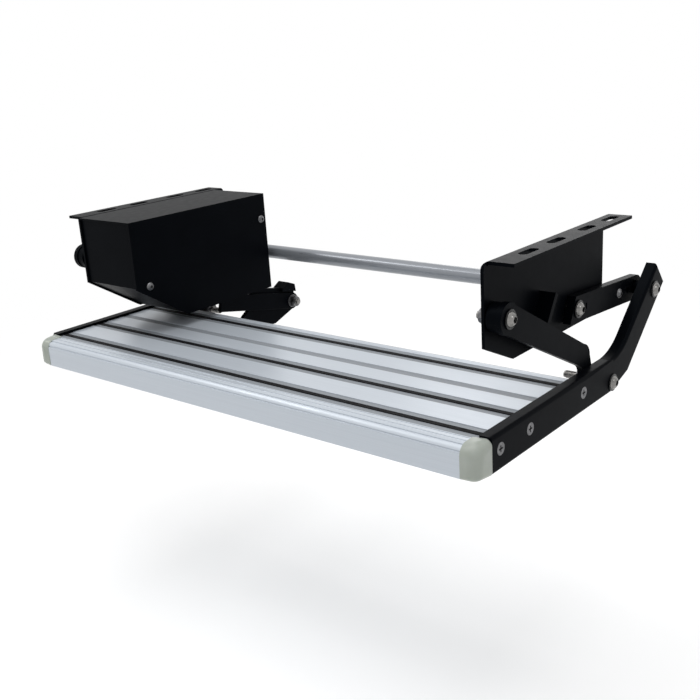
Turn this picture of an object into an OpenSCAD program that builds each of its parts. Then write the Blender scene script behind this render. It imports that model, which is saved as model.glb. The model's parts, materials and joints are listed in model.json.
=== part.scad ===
// Pull-out entrance step of a caravan, in its stowed pose. Two steel brackets bolt up under the floor,
// a lower and an upper link swing on each of them, and an aluminium tread hangs between two side arms.
// A gearmotor in a sheet steel box on the left turns the upper links, which a cross tube ties together.
// X points out of the vehicle, Y to the right as seen from outside, Z up.
// The origin is the centre of the mounting slots, on the face that meets the vehicle.

/* [Overall] */
// Width over the outer faces of the side arms
overall_w = 600; // [560:1:680]
// Gap between flat faces that swing past each other
run_gap = 0.5; // [0.3:0.1:0.8]
// Gap between a washer and the link that turns beside it
washer_gap = 0.3; // [0.2:0.05:0.5]
// Radial clearance of a pin in its bush
pin_gap = 0.05; // [0.02:0.01:0.08]
// Clearance round a piece that is pushed into its seat
seat_gap = 0.1; // [0.05:0.05:0.2]

/* [Mounting brackets] */
// Steel sheet thickness of the brackets
sheet_t = 3; // [2:0.5:4]
// Width of the outward flange
flange_w = 25; // [21:1:32]
// Length of the flange
flange_len = 220; // [214:1:240]
// From the middle of the slots to the flange's front end
flange_front = 121.5; // [112:0.5:126]
// Outer bend radius between plate and flange
bend_r = 5; // [4:0.5:8]
// Length of a mounting slot, end to end
slot_len = 26; // [18:1:34]
// Width of a mounting slot
slot_w = 9; // [7:0.5:11]
// Between the two outer slots of a flange
slot_pitch_outer = 154; // [140:1:160]
// Between the two inner slots of a flange
slot_pitch_inner = 58; // [45:1:80]
// From the middle of the slots to the plate's front edge
plate_front = 127; // [122:0.5:135]
// Length of the plate
plate_len = 217; // [205:1:220]
// Depth of the right plate below the mounting face
plate_h = 94.5; // [90:0.5:105]
// Length of the slanted cut at the plate's lower front corner
plate_cut_len = 45.5; // [20:0.5:60]
// Height of that cut
plate_cut_h = 21.5; // [10:0.5:30]
// Radius of the plate's upper front corner
plate_corner_r = 8; // [4:1:14]
// How far the stop lug stands out of the plate
lug_out = 15; // [10:1:15]
// Thickness of the stop lug
lug_t = 5; // [3:0.5:8]
// Length of the stop lug, square to the lower link's back
lug_len = 28; // [16:1:34]
// From the front pivot to the stop lug, along the lower link
lug_along = 70; // [55:1:85]

/* [Linkage] */
// Front pivot, ahead of the middle of the slots
front_pivot_x = 115; // [110:0.5:118]
// Front pivot, below the mounting face
front_pivot_drop = 48; // [42:0.5:54]
// Rear pivot, behind the middle of the slots
rear_pivot_x = 20.5; // [15:0.5:26]
// Rear pivot, below the mounting face
rear_pivot_drop = 74.5; // [70:0.5:78]
// Length of the upper link between its pivots
upper_len = 129; // [125:0.5:135]
// Angle that the lower link swings from stowed to pulled out
lower_swing = 70; // [66:1:74]
// Angle that the upper link swings from stowed to pulled out
upper_swing = 126; // [122:1:130]
// Middle of both swings, as an angle below the backward level line
swing_middle = 67; // [65:0.5:69]
// Thickness of the lower link over its bosses
lower_t = 15; // [13:0.5:18]
// Thickness of the lower link's leg and foot
leg_t = 6; // [5:0.5:8]
// Radius of the lower link's ends
lower_end_r = 14; // [13:0.5:15]
// How far a boss stays inside the end that it stands on
boss_inset = 1; // [0.5:0.25:2]
// From the front pivot to the lower link's knee, along the pivots' line
knee_along = 150.5; // [145:0.5:153]
// How far the knee's centre lies above the pivots' line
knee_rise = 6.5; // [4:0.5:10]
// Outer radius of the knee
knee_r = 15.5; // [14:0.5:17]
// Fillet in the hollow of the knee
knee_fillet = 10; // [5:0.5:12]
// Width of the lower link's leg at its front end
leg_front_w = 26; // [22:0.5:26]
// Width of the lower link's leg where it meets the knee
leg_w = 21; // [19:0.5:24]
// How far the ends and the knee stand proud of the straight edges between them
end_proud = 0.5; // [0.3:0.1:1]
// Width of the foot that drops from the knee
foot_w = 18; // [16:0.5:20]
// Lean of the foot backwards from the plumb line, in degrees
foot_lean = 18; // [12:1:22]
// Slope of the foot's upper edge to the pivots' line, in degrees
foot_slope = 15; // [8:1:20]
// Thickness of the upper link
upper_t = 8; // [6:0.5:9]
// Width of the upper link
upper_w = 25; // [22:0.5:27]
// Slant of the upper link's front end, in degrees
upper_heel_slant = 20; // [0:1:30]
// Length of the upper link ahead of its rear pivot
upper_heel = 10; // [8:0.5:12]
// Diameter of the cross tube
tube_d = 17; // [14:0.5:20]
// Wall of the cross tube
tube_wall = 1.5; // [1:0.25:2.5]
// Gap left by the swinging cross tube below the motor box
tube_clear = 2; // [1:0.5:6]
// Length of the stand-off between a link and the tube's end
standoff_len = 14; // [8:0.5:20]
// Diameter of the stand-off
standoff_d = 10; // [8:0.5:12]
// Diameter of the spare hole in the upper link
spare_hole_d = 6; // [4:0.5:8]
// Length of the slot beside the upper link's rear pivot
lock_slot_len = 6; // [4:0.5:8]
// Width of that slot
lock_slot_w = 2.5; // [2:0.5:4]
// From the rear pivot to that slot
lock_slot_at = 16.5; // [14:0.5:20]

/* [Pivot hardware] */
// Diameter of the pivot bolts
bolt_d = 8; // [6:0.5:9]
// Diameter of a dome bolt head
head_d = 14; // [12:0.5:15]
// Height of a dome bolt head
head_h = 4.4; // [3.5:0.1:5]
// Size of the hexagon key socket, across corners
socket_d = 5.8; // [4:0.1:6.5]
// Outer diameter of a washer
washer_d = 17; // [15:0.5:18]
// Thickness of a washer
washer_t = 1.2; // [0.8:0.1:1.6]
// Width of a nut across its corners
nut_d = 15; // [12:0.5:16]
// Height of a lock nut
nut_h = 7; // [5:0.5:8]
// Height of a lock nut's round collar
nut_collar_h = 1.75; // [1:0.25:3]
// Length of bolt that shows past a nut
bolt_past_nut = 3; // [1:0.5:5]
// Length of bolt that shows past a lower pivot's nut
lower_bolt_past = 14; // [3:0.5:18]
// Wall of a bush
bush_wall = 2; // [1.5:0.25:3]
// Wall of the spacer between a side arm and its lower link
spacer_wall = 2; // [1.5:0.25:2.5]

/* [Motor box] */
// Length of the box behind its front edge
box_len = 210.5; // [204:0.5:212]
// Depth of the box below the mounting face
box_h = 120; // [116:0.5:122]
// From the left plate's outer face to the cover's outer face
box_depth = 91.5; // [84:0.5:110]
// Length of the slanted wall at the lower front
box_cut_len = 69; // [50:0.5:75]
// Height of that slanted wall
box_cut_h = 44; // [30:0.5:50]
// Sheet thickness of the box and its cover
box_sheet = 2; // [1.5:0.25:3]
// How far the top sheet and the cover stand past the front wall
box_lap = 2; // [1:0.5:2]
// Side of the screw tabs inside the box
tab_w = 18; // [14:0.5:22]
// Diameter of a cover screw
cover_screw_d = 5; // [4:0.5:6]
// Diameter of a cover screw's head
cover_head_d = 10; // [8:0.5:11]
// Height of a cover screw's head
cover_head_h = 3; // [2:0.5:4]
// Size of a cover screw's key socket, across corners
cover_socket_d = 3.5; // [3:0.5:4.5]
// Length of a cover screw under its head
cover_screw_len = 8; // [6:0.5:12]
// From the box's front edge to the front cover screw
cover_front_screw = 19; // [14:0.5:22]
// Front cover screw, above the top of the slanted wall
cover_front_rise = 1; // [0:0.5:6]
// From the box's back edge to the rear cover screw
cover_rear_screw = 8; // [7:0.5:10]
// Rear cover screw, below the mounting face
cover_rear_drop = 31; // [24:0.5:60]

/* [Gearmotor] */
// Gap between the gear case and the lower face of the box
case_gap = 5.5; // [3:0.5:10]
// Depth of the gear case from the plate
case_depth = 55; // [48:0.5:60]
// Thickness of the gear case's lid
lid_t = 5; // [3:0.5:7]
// Diameter of the drive shaft
shaft_d = 16; // [14:0.5:18]
// Gap round the drive shaft where it leaves the box
shaft_clear = 1; // [0.5:0.25:2]
// How far the drive shaft's washer is wider than the others
shaft_lip = 3; // [2:0.5:5]
// Diameter of the motor's can
motor_d = 50; // [44:0.5:52]
// Length of the motor's can
motor_len = 72; // [60:1:76]
// How far the worm's housing stands ahead of the gear case
worm_past = 1; // [0.5:0.5:6]
// Height of the motor's axis above the drive shaft
motor_rise = 28; // [24:0.5:30]
// Length of the motor's end bell
bell_len = 8; // [5:0.5:10]
// Diameter of the gear case screws
case_screw_d = 5; // [4:0.5:6]
// Diameter of a gear case screw's head
case_head_d = 8.5; // [7:0.5:10]
// Height of a gear case screw's head
case_head_h = 5; // [3:0.5:6]
// From the edge of the gear case to the middle of its screws
case_screw_edge = 6; // [5:0.5:8]

/* [Side arms] */
// Height of the rail part of a side arm
rail_h = 33; // [30:0.5:38]
// Width of the rail, from its inner edges to its outer face
rail_depth = 12; // [11:0.5:16]
// Wall of the side arm
arm_wall = 3; // [2:0.25:4]
// Width of the rising part of the side arm
arm_w = 30; // [28:0.5:34]
// How far the rising part goes past the upper pivot
arm_past = 21; // [17:0.5:26]
// From the lower pivot back to the arm's elbow
elbow_back = 20.5; // [18:0.5:24]
// Inner radius of the elbow
elbow_r = 60; // [40:1:70]
// Slope of the bevel under the elbow, in degrees
bevel_slope = 16; // [12:0.5:20]
// From the bevel's start back to the lower pivot
bevel_lead = 0; // [0:0.5:2]
// From the rail's front end back to the lower pivot
pivot_back = 220; // [210:0.5:230]
// From the tread's top down to the lower pivot
pivot_drop = 20; // [17:0.5:20]
// Diameter of the rail screws
rail_screw_d = 5; // [4:0.5:5.5]
// Diameter of a rail screw's countersunk head
rail_head_d = 11.5; // [10:0.5:12]
// Length of the cross recess in a rail screw's head
rail_cross_len = 5.8; // [4:0.1:7]
// Width of that recess
rail_cross_w = 1.4; // [1:0.1:2]
// Length of a rail screw
rail_screw_len = 25; // [18:1:35]
// Rail screws, below the tread's top
rail_screw_drop = 11; // [10.5:0.5:15]
// First rail screw, behind the rail's front end
rail_screw_1 = 13.3; // [11:0.1:15]
// Second rail screw, behind the rail's front end
rail_screw_2 = 61.1; // [55:0.1:66]
// Third rail screw, behind the rail's front end
rail_screw_3 = 159.7; // [156:0.1:160]

/* [Tread] */
// How far the nosing stands ahead of the rails
nose_out = 20; // [17:0.5:26]
// Radius of the nosing's upper edge
nose_r = 10; // [8:0.5:12]
// How far the nosing's lip hangs below the plank
nose_lip = 2; // [1:0.5:3]
// Radius of the nosing's grooves
nose_groove_r = 0.9; // [0.5:0.1:1.2]
// Wall of the tread planks
plank_wall = 2.2; // [1.8:0.1:3]
// Seam between the two planks, behind the rail's front end
seam_at = 97.8; // [90:0.1:104]
// Width of the groove over the seam
seam_w = 6; // [3:0.5:9]
// Rear edge of the tread, behind the rail's front end
tread_back = 167; // [166:0.5:172]
// Front grip strip, behind the rail's front end
strip_1 = 9.1; // [7:0.1:11]
// Middle grip strip, behind the rail's front end
strip_2 = 58.8; // [50:0.1:66]
// Rear grip strip, behind the rail's front end
strip_3 = 140.4; // [130:0.1:142]
// Width of a grip strip
strip_w = 5.5; // [5:0.25:8]
// Depth of a grip strip below the tread's top
strip_depth = 6.5; // [5:0.25:7]
// How far a grip strip stands proud of the tread
strip_proud = 0.2; // [0.1:0.1:0.6]
// Width of the foot that holds a strip in its groove
strip_foot_w = 10; // [9.5:0.25:12]
// Thickness of that foot
strip_foot_t = 2; // [1.5:0.25:2.5]
// Width of the shallow step on each side of a strip
step_w = 4; // [2:0.25:4.5]
// Depth of the shallow step and of the seam groove
step_depth = 0.5; // [0.3:0.1:0.8]
// Length of a nosing cap along the nosing
cap_len = 18; // [14:0.5:24]
// Wall of a nosing cap
cap_wall = 1.6; // [1.2:0.1:2.5]
// Radius of a nosing cap's outer corner
cap_corner_r = 8; // [4:0.5:12]

/* [Drive lug] */
// From the middle of the tread to the joint between the lug and its bar
drive_at = 200; // [196:0.5:206]
// Thickness of the lug's plate
drive_lug_plate_t = 6; // [4:0.5:8]
// Thickness of the drive bar
drive_bar_t = 5; // [4:0.5:6]
// Width of the drive bar
drive_bar_w = 22; // [18:0.5:24]
// Length of the drive bar from its pin to its square end
drive_bar_len = 130; // [120:0.5:131]
// Slope of the drive bar at rest, in degrees
drive_slope = 12; // [10:0.5:13]
// Pin of the drive bar, behind the tread's rear edge
drive_pin_back = 134; // [132:0.5:138]
// Pin of the drive bar, below the tread's top
drive_pin_drop = 19.3; // [18:0.1:22]
// How far the lug runs forward under the rear plank
drive_lug_reach = 47; // [40:0.5:55]
// Height of the lug where it lies under the plank
drive_lug_foot_h = 12; // [10:0.5:16]
// Width of the flange that is screwed to the plank
drive_lug_flange_w = 24; // [18:0.5:30]
// Thickness of that flange
drive_lug_flange_t = 4; // [3:0.5:5]
// From each end of the flange to its screw
drive_lug_screw_in = 13.5; // [13:0.5:16]
// Length of a lug screw
drive_lug_screw_len = 12; // [10:0.5:14]

/* [Hidden] */
$fn = 64;
// Cuts run this far past the faces that they open
over = 1;
// Share of a fillet's edge that is left off at each end, and how deep its root lies in the solid
fillet_trim = 0.15;
fillet_root = 0.5;
// Angle by which the knee's rounding runs on into the leg and into the foot
knee_overrun = 10;
// Corners of the lug's rising plate and of its stop block, from the drive pin, and where its foot starts
drive_lug_rise = [[86.3, -1.8], [76.7, 4.7], [66, 31.4], [-9, 15.5], [-9, -10.9], [30.2, -24.4]];
drive_lug_heel = 91;
drive_lug_block = [[17.5, 16.4], [16.5, 20.8], [5.6, 26.9], [-7, 21.7], [-8.5, 11.5]];
// Grooves of the nosing: distances behind the start of its rounded edge, and angles round that edge
nose_flat_grooves = [1, 7];
nose_edge_grooves = [118, 155];
black = "#26262a";
steel = "#b8bcc0";
aluminium = "#d2d6da";
bronze = "#b08a4a";
rubber = "#141416";
milky = "#e4e6e0";
dark_grey = "#4a4c50";

// The layers from the outside in: side arm, lower link, plate. They are positions along Y.
arm_out = overall_w / 2;
arm_in = arm_out - rail_depth;
web_in = arm_out - arm_wall;
lower_out = arm_in - run_gap;
lower_in = lower_out - lower_t;
plate_out = lower_in - washer_gap - washer_t;
plate_in = plate_out - sheet_t;
upper_in = lower_in;
upper_out = upper_in + upper_t;
slot_y = plate_out + flange_w / 2;
cover_out = plate_out - box_depth;
cover_in = cover_out + box_sheet;
tube_end = upper_in - standoff_len;

// The pivots in the plane of a bracket, as [x, z]. Both links start their swing at the stowed pose.
lower_angle = swing_middle - lower_swing / 2;
upper_angle = swing_middle - upper_swing / 2;
lower_len = upper_len * sin(upper_swing / 2) / sin(lower_swing / 2);
function back_along(from, angle, dist) = from - dist * [cos(angle), sin(angle)];
pivot_a = [front_pivot_x, -front_pivot_drop];
pivot_b = [-rear_pivot_x, -rear_pivot_drop];
pivot_c = back_along(pivot_a, lower_angle, lower_len);
pivot_d = back_along(pivot_b, upper_angle, upper_len);

// The tread's own plane: r is the distance behind the rail's front end, h the height over the tread's top.
rail_front = pivot_c[0] + pivot_back;
tread_top = pivot_c[1] + pivot_drop;
c_local = [pivot_back, -pivot_drop];
d_local = [rail_front - pivot_d[0], pivot_d[1] - tread_top];
plank_t = rail_h - 2 * arm_wall;
rail_top = arm_wall;
rail_bottom = rail_top - rail_h;
elbow = [pivot_back + elbow_back, rail_top - rail_h / 2];
arm_angle = atan2(d_local[1] - elbow[1], d_local[0] - elbow[0]);
arm_len = norm(d_local - elbow) + arm_past;
rail_screws = [rail_screw_1, rail_screw_2, rail_screw_3];
strips = [strip_1, strip_2, strip_3];

// The box's lower rear corner is the nearest that the swinging tube comes to it.
box_back = plate_front - box_len;
tube_at = norm([pivot_b[0] - box_back, pivot_b[1] + box_h]) + tube_d / 2 + tube_clear;
tube_pos = back_along(pivot_b, upper_angle, tube_at);
motor_y = plate_in - case_depth + motor_d / 2;
case_r = box_h - box_sheet - rear_pivot_drop - case_gap;
can_front = pivot_b[0] + case_r + worm_past;

// The drive lug's pin, and its screws along the plank
tread_rear = rail_front - tread_back;
plank_under = tread_top - plank_t;
pin_at = [tread_rear - drive_pin_back, tread_top - drive_pin_drop];
drive_bar_in = drive_at - drive_bar_t;
drive_lug_out = drive_at + drive_lug_plate_t;
drive_screw_at = [tread_rear + drive_lug_screw_in, tread_rear + drive_lug_reach - drive_lug_screw_in];

bush_d = bolt_d + 2 * pin_gap + 2 * bush_wall;
bolt_hole_d = bolt_d + 2 * seat_gap;

// Stands an outline drawn in x and z upright between two positions along Y
module slab(y0, y1) {
    translate([0, y1, 0]) rotate([90, 0, 0]) linear_extrude(y1 - y0) children();
}

// A round bar along Y at a point of the bracket's plane
module bar(d, y0, y1, at) {
    translate([at[0], y0, at[1]]) rotate([-90, 0, 0]) cylinder(d = d, h = y1 - y0);
}

// A ring along Y
module ring(d, hole, y0, y1, at) {
    difference() {
        bar(d, y0, y1, at);
        bar(hole, y0 - over, y1 + over, at);
    }
}

module left() {
    mirror([0, 1, 0]) children();
}

module both_sides() {
    children();
    left() children();
}

// Draws in a link's own plane: the first axis runs from its fixed pivot to its moving one
module link_plane(pivot, angle) {
    translate(pivot) rotate(angle) mirror([1, 0]) children();
}

// Draws in the tread's own plane of r and h
module tread_plane() {
    translate([rail_front, tread_top]) mirror([1, 0]) children();
}

// Where the line through p at angle a meets the line through q at angle b
function meet(p, a, q, b) =
    let (w = q - p)
    p + (w[0] * sin(b) - w[1] * cos(b)) / sin(b - a) * [cos(a), sin(a)];

// The piece that rounds off an inner corner between two edges which leave it at the angles a and b.
// It reaches a little into the solid behind the corner, and stops just short of where the arc ends.
module fillet(corner, a, b, r) {
    half = (b - a) / 2;
    outwards = [cos(a + half), sin(a + half)];
    reach = (1 - fillet_trim) * r / tan(half);
    root = corner - fillet_root * outwards;
    middle = corner + r / sin(half) * outwards;
    difference() {
        polygon([root, root + reach * [cos(a), sin(a)], middle, root + reach * [cos(b), sin(b)]]);
        translate(middle) circle(r);
    }
}

// A bolt with a domed head whose underside is at y0, pointing towards -Y
module dome_bolt(d, y0, tip, at) {
    ball_r = (head_d * head_d / 4 + head_h * head_h) / (2 * head_h);
    bar(d, tip, y0 + over, at);
    translate([at[0], y0, at[1]]) rotate([-90, 0, 0]) difference() {
        intersection() {
            cylinder(d = head_d, h = head_h);
            translate([0, 0, head_h - ball_r]) sphere(ball_r);
        }
        translate([0, 0, head_h / 2]) cylinder(d = socket_d, h = head_h, $fn = 6);
    }
}

// A lock nut whose seat is at y0, with its collar towards -Y
module lock_nut(d, y0, at) {
    difference() {
        union() {
            translate([at[0], y0, at[1]]) rotate([90, 0, 0])
                cylinder(d = nut_d, h = nut_h - nut_collar_h, $fn = 6);
            bar(nut_d * cos(30), y0 - nut_h, y0 - nut_h + nut_collar_h + over / 2, at);
        }
        bar(d + 2 * seat_gap, y0 - nut_h - over, y0 + over, at);
    }
}

// Brackets
module plate_outline() {
    back = plate_front - plate_len;
    polygon([
        [plate_front - plate_corner_r, 0], [back, 0], [back, -plate_h],
        [plate_front - plate_cut_len, -plate_h], [plate_front, plate_cut_h - plate_h],
        [plate_front, -plate_corner_r], [plate_front - plate_corner_r, -plate_corner_r]
    ]);
    translate([plate_front - plate_corner_r, -plate_corner_r]) circle(plate_corner_r);
}

// The motor box's outline, moved inwards by a wall, and by a lap as well at its front
module box_outline(wall, lap) {
    slant = atan2(box_cut_h, box_cut_len);
    floor_z = wall - box_h;
    front = plate_front - lap - wall;
    foot = [plate_front - box_cut_len, -box_h] + (lap + wall) * [-sin(slant), cos(slant)];
    polygon([
        [front, -wall], [box_back + wall, -wall], [box_back + wall, floor_z],
        meet(foot, slant, [0, floor_z], 0),
        meet(foot, slant, [front, 0], 90)
    ]);
}

module slot_cut(x) {
    straight = slot_len - slot_w;
    translate([x, slot_y, -sheet_t - over]) linear_extrude(sheet_t + 2 * over) {
        square([straight, slot_w], center = true);
        for (end = [-1, 1]) translate([end * straight / 2, 0]) circle(d = slot_w);
    }
}

// The lug is square to the lower link's back and stops just short of it
module stop_lug() {
    near = lower_link_back(lug_along) + run_gap;
    slab(plate_out - over, plate_out + lug_out) link_plane(pivot_a, lower_angle) {
        translate([lug_along - lug_t / 2, near]) square([lug_t, lug_len]);
    }
}

module bracket(rear_hole_d) {
    inner_bend = bend_r - sheet_t;
    flange_back = flange_front - flange_len;
    difference() {
        union() {
            slab(plate_in, plate_out) {
                plate_outline();
                children();
            }
            translate([flange_back, plate_in, -sheet_t]) cube([flange_len, sheet_t + flange_w, sheet_t]);
            translate([flange_back, 0, 0]) rotate([90, 0, 90]) linear_extrude(flange_len)
                fillet([plate_out, -sheet_t], -90, 0, inner_bend);
            stop_lug();
        }
        translate([flange_back - over, 0, 0]) rotate([90, 0, 90])
            linear_extrude(flange_len + plate_len) difference() {
                translate([plate_in - over, -bend_r]) square([bend_r + over, bend_r + over]);
                translate([plate_in + bend_r, -bend_r]) circle(bend_r);
            }
        for (pitch = [slot_pitch_outer, slot_pitch_inner], end = [-1, 1]) slot_cut(end * pitch / 2);
        bar(bolt_hole_d, plate_in - over, plate_out + over, pivot_a);
        bar(rear_hole_d, plate_in - over, plate_out + over, pivot_b);
    }
}

module right_bracket() {
    color(black) bracket(bolt_hole_d);
}

module left_bracket() {
    color(black) left() bracket(shaft_d + 2 * shaft_clear) box_outline(0, 0);
}

// Motor box
front_cover_screw = [plate_front - cover_front_screw, cover_front_rise + box_cut_h - box_h];
rear_cover_screw = [box_back + cover_rear_screw, -cover_rear_drop];

module motor_housing() {
    color(black) left() difference() {
        union() {
            difference() {
                slab(cover_in, plate_in) box_outline(0, box_lap);
                slab(cover_in - over, plate_in + over) box_outline(box_sheet, box_lap);
            }
            translate([plate_front - box_lap - over, cover_in, -box_sheet])
                cube([box_lap + over, plate_in - cover_in, box_sheet]);
            slab(cover_in, cover_in + box_sheet) intersection() {
                box_outline(0, box_lap);
                union() {
                    translate(front_cover_screw - [tab_w / 2, 3 * tab_w / 2]) square([tab_w, 2 * tab_w]);
                    translate([box_back, rear_cover_screw[1] - tab_w / 2])
                        square([cover_rear_screw + tab_w / 2, tab_w]);
                }
            }
        }
        for (at = [front_cover_screw, rear_cover_screw])
            bar(cover_screw_d + 2 * seat_gap, cover_in - over, cover_in + box_sheet + over, at);
    }
}

module motor_cover() {
    color(black) left() difference() {
        slab(cover_out, cover_in) box_outline(0, 0);
        for (at = [front_cover_screw, rear_cover_screw])
            bar(cover_screw_d + 2 * seat_gap, cover_out - over, cover_in + over, at);
    }
}

// A small dome screw whose head sits on the face y0 and points towards +Y
module small_screw(y0, tip, at) {
    ball_r = (cover_head_d * cover_head_d / 4 + cover_head_h * cover_head_h) / (2 * cover_head_h);
    bar(cover_screw_d, tip, y0 + cover_head_h / 4, at);
    translate([at[0], y0, at[1]]) rotate([-90, 0, 0]) difference() {
        intersection() {
            cylinder(d = cover_head_d, h = cover_head_h);
            translate([0, 0, cover_head_h - ball_r]) sphere(ball_r);
        }
        translate([0, 0, cover_head_h / 2]) cylinder(d = cover_socket_d, h = cover_head_h, $fn = 6);
    }
}

module cover_screws() {
    color(steel) for (at = [front_cover_screw, rear_cover_screw])
        small_screw(-cover_out, -cover_out - cover_screw_len, at);
}

// Gearmotor
motor_axis_z = pivot_b[1] + motor_rise;
case_in = plate_in - case_depth;
case_screw_r = case_r - case_screw_edge;
case_screw_angles = [45, 135, 225, 315];
function case_screw_at(angle) = pivot_b + case_screw_r * [cos(angle), sin(angle)];

module gear_case() {
    color(dark_grey) left() difference() {
        union() {
            bar(2 * case_r, case_in, plate_in, pivot_b);
            translate([pivot_b[0] - case_r / 2, motor_y - motor_d / 2, motor_axis_z - motor_d / 2])
                cube([can_front - pivot_b[0] + case_r / 2, motor_d, motor_d]);
        }
        bar(shaft_d + 2 * pin_gap, case_in - over, plate_in + over, pivot_b);
        for (angle = case_screw_angles)
            bar(case_screw_d + 2 * seat_gap, case_in - over, plate_in + over, case_screw_at(angle));
    }
}

module gear_case_lid() {
    color(aluminium) left() difference() {
        bar(2 * case_r, case_in - lid_t, case_in, pivot_b);
        bar(shaft_d + 2 * pin_gap, case_in - lid_t - over, case_in + over, pivot_b);
        for (angle = case_screw_angles)
            bar(case_screw_d + 2 * seat_gap, case_in - lid_t - over, case_in + over, case_screw_at(angle));
    }
}

module gear_case_screws() {
    color(steel) left() for (angle = case_screw_angles) {
        at = case_screw_at(angle);
        bar(case_screw_d, case_in - lid_t - over / 2, plate_in, at);
        bar(case_head_d, case_in - lid_t - case_head_h, case_in - lid_t, at);
    }
}

module along_motor(x0, d, length) {
    translate([x0, motor_y, motor_axis_z]) rotate([0, 90, 0]) cylinder(d = d, h = length);
}

module motor_can() {
    color(dark_grey) left() along_motor(can_front, motor_d, motor_len);
}

module motor_end_bell() {
    front = can_front + motor_len;
    color(aluminium) left() {
        along_motor(front, motor_d - box_sheet, bell_len / 2);
        along_motor(front + bell_len / 2, motor_d / 2, bell_len / 2);
    }
}

// Front pivots: each bolt is fixed in its plate, and the lower link turns on it
module front_pivot_bolts() {
    tip = plate_in - nut_h - bolt_past_nut;
    color(steel) both_sides() dome_bolt(bolt_d, lower_out + washer_gap + washer_t, tip, pivot_a);
}

module front_pivot_washers() {
    color(steel) both_sides() {
        ring(washer_d, bolt_hole_d, lower_out + washer_gap, lower_out + washer_gap + washer_t, pivot_a);
        ring(washer_d, bolt_hole_d, plate_out, lower_in - washer_gap, pivot_a);
    }
}

module front_pivot_nuts() {
    color(steel) both_sides() lock_nut(bolt_d, plate_in, pivot_a);
}

// Rear pivot: a bolt on the right, and the drive shaft on the left
module rear_pivot_bolt() {
    tip = plate_in - nut_h - bolt_past_nut;
    color(steel) dome_bolt(bolt_d, upper_out + washer_gap + washer_t, tip, pivot_b);
}

module rear_pivot_washers() {
    color(steel) {
        ring(washer_d, bolt_hole_d, upper_out + washer_gap, upper_out + washer_gap + washer_t, pivot_b);
        ring(washer_d, bolt_hole_d, plate_out, upper_in - washer_gap, pivot_b);
    }
}

module rear_pivot_nut() {
    color(steel) lock_nut(bolt_d, plate_in, pivot_b);
}

// Lower links: a dog-leg bar that drops behind the tread to reach the side arm.
// Its back is straight from the top of the front end to the top of the knee.
knee = [knee_along, knee_rise];
leg_top = knee_rise + knee_r - end_proud;
function lower_link_back(s) = leg_front_w / 2 + (leg_top - leg_front_w / 2) * s / knee_along;

module lower_link_outline() {
    drop = 90 - lower_angle - foot_lean;
    rearward = [sin(drop), cos(drop)];
    belly = atan2(leg_top - leg_w + leg_front_w / 2, knee_along);
    ankle_r = lower_end_r - end_proud;
    shin = knee + (knee_r - foot_w) * rearward;
    calf = knee + (knee_r - end_proud) * rearward;
    instep = [lower_len, 0] + ankle_r * [-sin(foot_slope), cos(foot_slope)];
    hollow = meet(shin, -drop, [0, -leg_front_w / 2], belly);
    circle(lower_end_r);
    translate([lower_len, 0]) circle(lower_end_r);
    intersection() {
        translate(knee) circle(knee_r);
        polygon([
            knee, knee + 2 * knee_r * [cos(90 - drop - knee_overrun), sin(90 - drop - knee_overrun)],
            knee + 2 * knee_r * [cos(90 + knee_overrun), sin(90 + knee_overrun)]
        ]);
    }
    polygon([[0, -leg_front_w / 2], hollow, [knee_along + over, leg_top], [0, leg_front_w / 2]]);
    polygon([
        shin, meet(shin, -drop, [0, -ankle_r], 0), [lower_len, -ankle_r],
        instep, meet(calf, -drop, instep, foot_slope), calf
    ]);
    fillet(hollow, 180 + belly, 360 - drop, knee_fillet);
}

module lower_link() {
    difference() {
        union() {
            slab(lower_out - leg_t, lower_out) link_plane(pivot_a, lower_angle) lower_link_outline();
            for (at = [pivot_a, pivot_c])
                bar(2 * (lower_end_r - boss_inset), lower_in, lower_out - over, at);
        }
        for (at = [pivot_a, pivot_c]) bar(bush_d, lower_in - over, lower_out + over, at);
    }
}

module right_lower_link() {
    color(black) lower_link();
}

module left_lower_link() {
    color(black) left() lower_link();
}

module lower_link_bushes() {
    color(bronze) both_sides()
        for (at = [pivot_a, pivot_c]) ring(bush_d, bolt_d + 2 * pin_gap, lower_in, lower_out, at);
}

// Upper links: a flat bar with a slanted heel
module upper_link_outline() {
    lean = upper_w * tan(upper_heel_slant) / 2;
    polygon([
        [-upper_heel - lean, -upper_w / 2], [upper_len, -upper_w / 2],
        [upper_len, upper_w / 2], [-upper_heel + lean, upper_w / 2]
    ]);
    translate([upper_len, 0]) circle(d = upper_w);
}

module upper_link(rear_bore) {
    spare_pos = back_along(pivot_b, upper_angle, (tube_at + upper_len) / 2);
    difference() {
        slab(upper_in, upper_out) link_plane(pivot_b, upper_angle) upper_link_outline();
        slab(upper_in - over, upper_out + over) link_plane(pivot_b, upper_angle)
            translate([lock_slot_at, 0]) square([lock_slot_w, lock_slot_len], center = true);
        bar(rear_bore, upper_in - over, upper_out + over, pivot_b);
        bar(bush_d, upper_in - over, upper_out + over, pivot_d);
        bar(cover_screw_d + 2 * seat_gap, upper_in - over, upper_out + over, tube_pos);
        bar(spare_hole_d, upper_in - over, upper_out + over, spare_pos);
    }
}

module right_upper_link() {
    color(black) upper_link(bush_d);
}

module left_upper_link() {
    color(black) left() upper_link(shaft_d);
}

module upper_link_bushes() {
    color(bronze) {
        ring(bush_d, bolt_d + 2 * pin_gap, upper_in, upper_out, pivot_b);
        both_sides() ring(bush_d, bolt_d + 2 * pin_gap, upper_in, upper_out, pivot_d);
    }
}

// A spacer fills the room between the upper link and the side arm at the upper pivot
module upper_link_bosses() {
    color(black) both_sides() ring(head_d, bolt_d + 2 * pin_gap, upper_out, arm_in - run_gap, pivot_d);
}

// Cross tube between the upper links
module cross_tube() {
    color(steel) ring(tube_d, tube_d - 2 * tube_wall, -tube_end, tube_end, tube_pos);
}

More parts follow.
